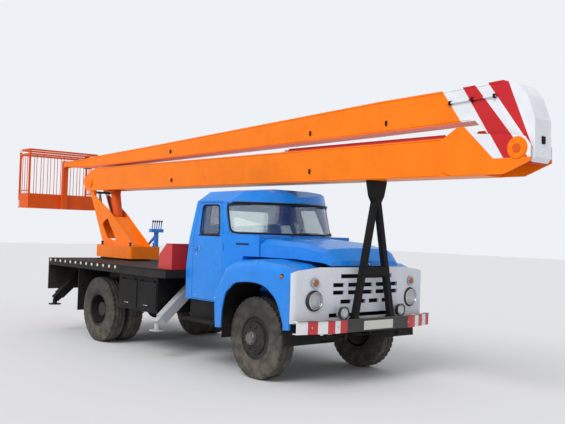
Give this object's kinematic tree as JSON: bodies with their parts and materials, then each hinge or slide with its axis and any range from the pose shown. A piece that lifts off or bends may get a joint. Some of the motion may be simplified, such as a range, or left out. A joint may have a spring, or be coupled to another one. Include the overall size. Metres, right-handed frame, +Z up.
{
  "type": "cherry picker truck",
  "caption": "Long-nosed lorry with a slewing two-boom aerial work platform, a rest frame on its bumper, extending stabiliser legs and a railed basket.",
  "frame": {"origin": "on the ground, under the middle of the overall length and width", "axes": "+X forwards, +Y to the lorry's left, +Z up"},
  "size_m": [11.47, 2.64, 3.48],
  "materials": {
    "cab_blue": "semi-gloss paint",
    "panel_white": "semi-gloss paint",
    "boom_orange": "semi-gloss paint",
    "basket_orange": "semi-gloss paint",
    "frame_black": "semi-gloss paint",
    "deck_black": "semi-gloss paint",
    "safety_red": "semi-gloss paint",
    "wheel_grey": "semi-gloss paint",
    "steel": "bright rod",
    "cast": "rough casting",
    "tyre": "worn rubber",
    "glass": "clear",
    "flap": "matt",
    "trim": "matt",
    "seat": "worn",
    "lens": "clear"
  },
  "bodies": {
    "chassis": {"frame_rails": "frame_black", "front_axle": "cast", "rear_axle": "cast", "leaf_springs": "cast", "engine_block": "cast", "driveline": "cast", "front_bumper": "safety_red", "front_panel": "panel_white", "lamps": "lens", "fender_left": "cab_blue", "fender_right": "cab_blue", "cab_body": "cab_blue", "cab_roof": "cab_blue", "cab_glass": "glass", "bench_seat": "seat", "dashboard": "trim", "cab_steps": "frame_black", "boom_rest": "frame_black", "deck": "deck_black", "slew_ring": "cast", "side_lockers": "frame_black", "mud_flaps": "flap", "outrigger_sleeves": "panel_white", "red_locker": "safety_red"},
    "door_left": {"door_left": "cab_blue", "door_glass_left": "glass"},
    "door_right": {"door_right": "cab_blue", "door_glass_right": "glass"},
    "bonnet": {"bonnet": "cab_blue"},
    "knuckle_left": {"knuckle_left": "cast"},
    "wheel_front_left": {"tyre_front_left": "tyre", "rim_front_left": "wheel_grey"},
    "wheels_rear_left": {"tyres_rear_left": "tyre", "rims_rear_left": "wheel_grey"},
    "knuckle_right": {"knuckle_right": "cast"},
    "wheel_front_right": {"tyre_front_right": "tyre", "rim_front_right": "wheel_grey"},
    "wheels_rear_right": {"tyres_rear_right": "tyre", "rims_rear_right": "wheel_grey"},
    "leg_mid_left": {"outrigger_leg_mid_left": "panel_white"},
    "leg_mid_right": {"outrigger_leg_mid_right": "panel_white"},
    "leg_rear_left": {"outrigger_leg_rear_left": "panel_white"},
    "leg_rear_right": {"outrigger_leg_rear_right": "panel_white"},
    "turret": {"turret": "boom_orange", "control_stand": "cab_blue"},
    "lift_barrel": {"lift_barrel": "basket_orange"},
    "lift_rod": {"lift_rod": "steel"},
    "lower_boom": {"lower_boom": "boom_orange", "lift_lugs": "boom_orange", "fork_cheek_left": "boom_orange", "fork_cheek_right": "boom_orange", "level_rod": "safety_red"},
    "elbow_link": {"elbow_link": "cast"},
    "upper_boom": {"upper_boom": "boom_orange", "upper_knuckle": "boom_orange"},
    "basket": {"basket": "basket_orange"}
  },
  "joints": [
    {"name": "steer_left", "type": "hinge", "parent": "chassis", "child": "knuckle_left", "pos_m": [2.445, 0.715, 0.508], "axis": [0, 0, 1], "range_deg": [-30, 30]},
    {"name": "wheel_front_left_spin", "type": "hinge", "parent": "knuckle_left", "child": "wheel_front_left", "pos_m": [2.445, 0.9, 0.508], "axis": [0, 1, 0], "continuous": true},
    {"name": "wheels_rear_left_spin", "type": "hinge", "parent": "chassis", "child": "wheels_rear_left", "pos_m": [-1.355, 0.895, 0.508], "axis": [0, 1, 0], "continuous": true},
    {"name": "door_left_open", "type": "hinge", "parent": "chassis", "child": "door_left", "pos_m": [1.7, 1.004, 1.4], "axis": [0, 0, -1], "range_deg": [0, 65]},
    {"name": "steer_right", "type": "hinge", "parent": "chassis", "child": "knuckle_right", "pos_m": [2.445, -0.715, 0.508], "axis": [0, 0, 1], "range_deg": [-30, 30]},
    {"name": "wheel_front_right_spin", "type": "hinge", "parent": "knuckle_right", "child": "wheel_front_right", "pos_m": [2.445, -0.9, 0.508], "axis": [0, 1, 0], "continuous": true},
    {"name": "wheels_rear_right_spin", "type": "hinge", "parent": "chassis", "child": "wheels_rear_right", "pos_m": [-1.355, -0.895, 0.508], "axis": [0, 1, 0], "continuous": true},
    {"name": "door_right_open", "type": "hinge", "parent": "chassis", "child": "door_right", "pos_m": [1.7, -1.004, 1.4], "axis": [0, 0, 1], "range_deg": [0, 65]},
    {"name": "bonnet_open", "type": "hinge", "parent": "chassis", "child": "bonnet", "pos_m": [2.247, 0, 1.77], "axis": [0, -1, 0], "range_deg": [0, 42]},
    {"name": "leg_mid_left_out", "type": "slide", "parent": "chassis", "child": "leg_mid_left", "axis": [0, 0.7431, -0.6691], "range_m": [0, 0.565]},
    {"name": "leg_mid_right_out", "type": "slide", "parent": "chassis", "child": "leg_mid_right", "axis": [0, -0.7431, -0.6691], "range_m": [0, 0.565]},
    {"name": "leg_rear_left_out", "type": "slide", "parent": "chassis", "child": "leg_rear_left", "axis": [0, 0.7431, -0.6691], "range_m": [0, 0.665]},
    {"name": "leg_rear_right_out", "type": "slide", "parent": "chassis", "child": "leg_rear_right", "axis": [0, -0.7431, -0.6691], "range_m": [0, 0.665]},
    {"name": "slew", "type": "hinge", "parent": "chassis", "child": "turret", "pos_m": [-2.635, 0, 1.276], "axis": [0, 0, 1], "range_deg": [-180, 180]},
    {"name": "lower_lift", "type": "hinge", "parent": "turret", "child": "lower_boom", "pos_m": [-3.675, 0, 2.64], "axis": [0, -1, 0], "range_deg": [0, 78]},
    {"name": "lift_barrel_swing", "type": "hinge", "parent": "turret", "child": "lift_barrel", "pos_m": [-2.805, 0, 1.57], "axis": [0, -1, 0], "range_deg": [0, 8.55]},
    {"name": "lift_rod_out", "type": "slide", "parent": "lift_barrel", "child": "lift_rod", "axis": [-0.2536, 0, 0.9673], "range_m": [0, 0.72913]},
    {"name": "elbow_level", "type": "hinge", "parent": "lower_boom", "child": "elbow_link", "pos_m": [5.565, 0, 2.755], "axis": [0, 1, 0], "range_deg": [0, 78]},
    {"name": "upper_lift", "type": "hinge", "parent": "elbow_link", "child": "upper_boom", "pos_m": [5.405, 0, 2.8], "axis": [0, 1, 0], "range_deg": [0, 90]},
    {"name": "basket_level", "type": "hinge", "parent": "upper_boom", "child": "basket", "pos_m": [-5.025, 0, 3.045], "axis": [0, -1, 0], "range_deg": [0, 90]}
  ],
  "couplings": [
    {"joint": "steer_right", "follows": "steer_left", "ratio": 1},
    {"joint": "lift_barrel_swing", "follows": "lower_lift", "ratio": 0.10895},
    {"joint": "lift_rod_out", "follows": "lower_lift", "m_per_rad": 0.53523},
    {"joint": "elbow_level", "follows": "lower_lift", "ratio": 1},
    {"joint": "basket_level", "follows": "upper_lift", "ratio": 1}
  ]
}
